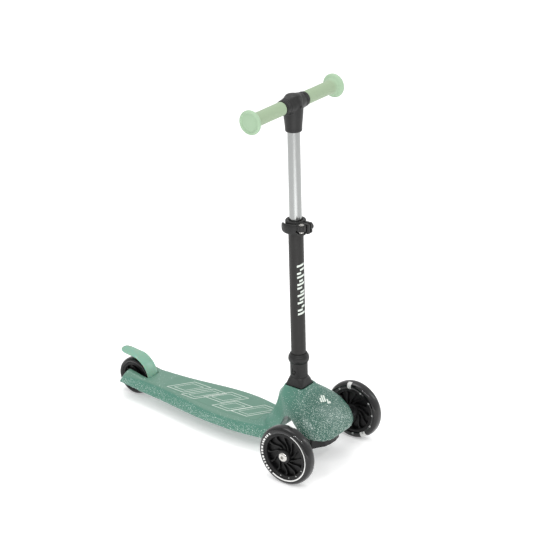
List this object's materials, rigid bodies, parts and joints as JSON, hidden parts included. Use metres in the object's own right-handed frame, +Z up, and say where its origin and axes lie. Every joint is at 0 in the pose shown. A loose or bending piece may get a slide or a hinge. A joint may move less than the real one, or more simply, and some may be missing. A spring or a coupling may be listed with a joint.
{
  "type": "kick scooter",
  "caption": "Child's lean-to-steer kick scooter: two front wheels, one rear wheel, fender brake, sliding T-bar with a quick-release clamp.",
  "frame": {"origin": "on the ground, under the middle of the scooter's overall length and width", "axes": "+Z up, -Y forward, +X to the rider's left"},
  "size_m": [0.268, 0.57, 0.7402],
  "materials": {
    "deck_plastic": "moulded sea-green plastic with glitter",
    "decal": "printed anti-slip sheet",
    "mint_plastic": "soft-touch mint",
    "fender_plastic": "translucent mint plastic",
    "black_plastic": "fine moulded grain",
    "black_tube": "satin black powder coat",
    "bare_aluminium": "satin anodised",
    "steel": "zinc plated",
    "bright_steel": "polished fastener",
    "tyre": "cast polyurethane, smoky",
    "wheel_core": "black nylon",
    "nylon": "natural nylon"
  },
  "bodies": {
    "deck": {"deck_body": "deck_plastic", "deck_decal": "decal", "stem_socket": "black_plastic", "stem_ring": "black_plastic", "lower_tube": "black_tube", "tube_bushing": "nylon", "clamp_collar": "black_plastic", "clamp_bolt": "bright_steel", "clamp_nut": "black_plastic", "clamp_barrel": "bright_steel", "button_spring": "steel", "pivot_bracket": "black_plastic", "lean_pivot_bolt": "steel", "bracket_screws": "steel", "steering_pin": "steel", "lean_springs": "steel", "brake_pin": "steel", "brake_springs": "steel", "rear_axle_bolt": "steel", "rear_axle_spacers": "nylon"},
    "release_button": {"release_button": "bright_steel"},
    "clamp_lever": {"clamp_lever": "black_plastic"},
    "handlebar": {"upper_tube": "bare_aluminium", "handle_tee": "black_plastic", "tee_plug": "black_plastic", "crossbar": "steel", "grip_left": "mint_plastic", "grip_right": "mint_plastic", "bar_collars": "black_plastic"},
    "truck": {"truck_housing": "black_plastic", "kingpins": "steel"},
    "tie_rod": {"tie_rod": "steel"},
    "brake_fender": {"brake_fender": "fender_plastic"},
    "knuckle_left": {"knuckle_left": "black_plastic", "front_axle_bolt_left": "bright_steel", "axle_washer_left": "nylon"},
    "knuckle_right": {"knuckle_right": "black_plastic", "front_axle_bolt_right": "bright_steel", "axle_washer_right": "nylon"},
    "wheel_front_left": {"tyre_front_left": "tyre", "wheel_core_front_left": "wheel_core", "bearings_front_left": "steel", "bearing_spacer_front_left": "steel"},
    "wheel_front_right": {"tyre_front_right": "tyre", "wheel_core_front_right": "wheel_core", "bearings_front_right": "steel", "bearing_spacer_front_right": "steel"},
    "wheel_rear": {"tyre_rear": "tyre", "wheel_core_rear": "wheel_core", "bearings_rear": "steel", "bearing_spacer_rear": "steel"}
  },
  "joints": [
    {"name": "lean", "type": "hinge", "parent": "deck", "child": "truck", "pos_m": [0, -0.169, 0.092], "axis": [0, 1, 0], "range_deg": [-8, 8], "stiffness_Nm_per_rad": 60, "deforming": ["lean_springs"]},
    {"name": "knuckle_left_yaw", "type": "hinge", "parent": "truck", "child": "knuckle_left", "pos_m": [0.052, -0.225, 0.06], "axis": [0, 0, 1], "range_deg": [-13, 13]},
    {"name": "knuckle_right_yaw", "type": "hinge", "parent": "truck", "child": "knuckle_right", "pos_m": [-0.052, -0.225, 0.06], "axis": [0, 0, 1], "range_deg": [-13, 13]},
    {"name": "tie_rod_slide", "type": "slide", "parent": "truck", "child": "tie_rod", "axis": [1, 0, 0], "range_m": [-0.0065, 0.0065]},
    {"name": "wheel_front_left_spin", "type": "hinge", "parent": "knuckle_left", "child": "wheel_front_left", "pos_m": [0.114, -0.225, 0.06], "axis": [1, 0, 0], "continuous": true},
    {"name": "wheel_front_right_spin", "type": "hinge", "parent": "knuckle_right", "child": "wheel_front_right", "pos_m": [-0.114, -0.225, 0.06], "axis": [1, 0, 0], "continuous": true},
    {"name": "wheel_rear_spin", "type": "hinge", "parent": "deck", "child": "wheel_rear", "pos_m": [0, 0.245, 0.04], "axis": [1, 0, 0], "continuous": true},
    {"name": "brake_press", "type": "hinge", "parent": "deck", "child": "brake_fender", "pos_m": [0, 0.1935, 0.0435], "axis": [1, 0, 0], "range_deg": [-5, 0], "stiffness_Nm_per_rad": 2, "springref_deg": 5.73},
    {"name": "height_slide", "type": "slide", "parent": "deck", "child": "handlebar", "axis": [0, 0.0316, 0.9995], "range_m": [-0.14, 0]},
    {"name": "clamp_lever_swing", "type": "hinge", "parent": "deck", "child": "clamp_lever", "pos_m": [-0.018, -0.18675, 0.47966], "axis": [0, 0.0316, 0.9995], "range_deg": [0, 110]},
    {"name": "release_button_press", "type": "slide", "parent": "deck", "child": "release_button", "axis": [1, 0, 0], "range_m": [0, 0.003], "stiffness_N_per_m": 800, "deforming": ["button_spring"]}
  ],
  "couplings": [
    {"joint": "knuckle_left_yaw", "follows": "lean", "ratio": -1.3393},
    {"joint": "knuckle_right_yaw", "follows": "lean", "ratio": -1.3393},
    {"joint": "tie_rod_slide", "follows": "lean", "m_per_rad": 0.0375}
  ]
}
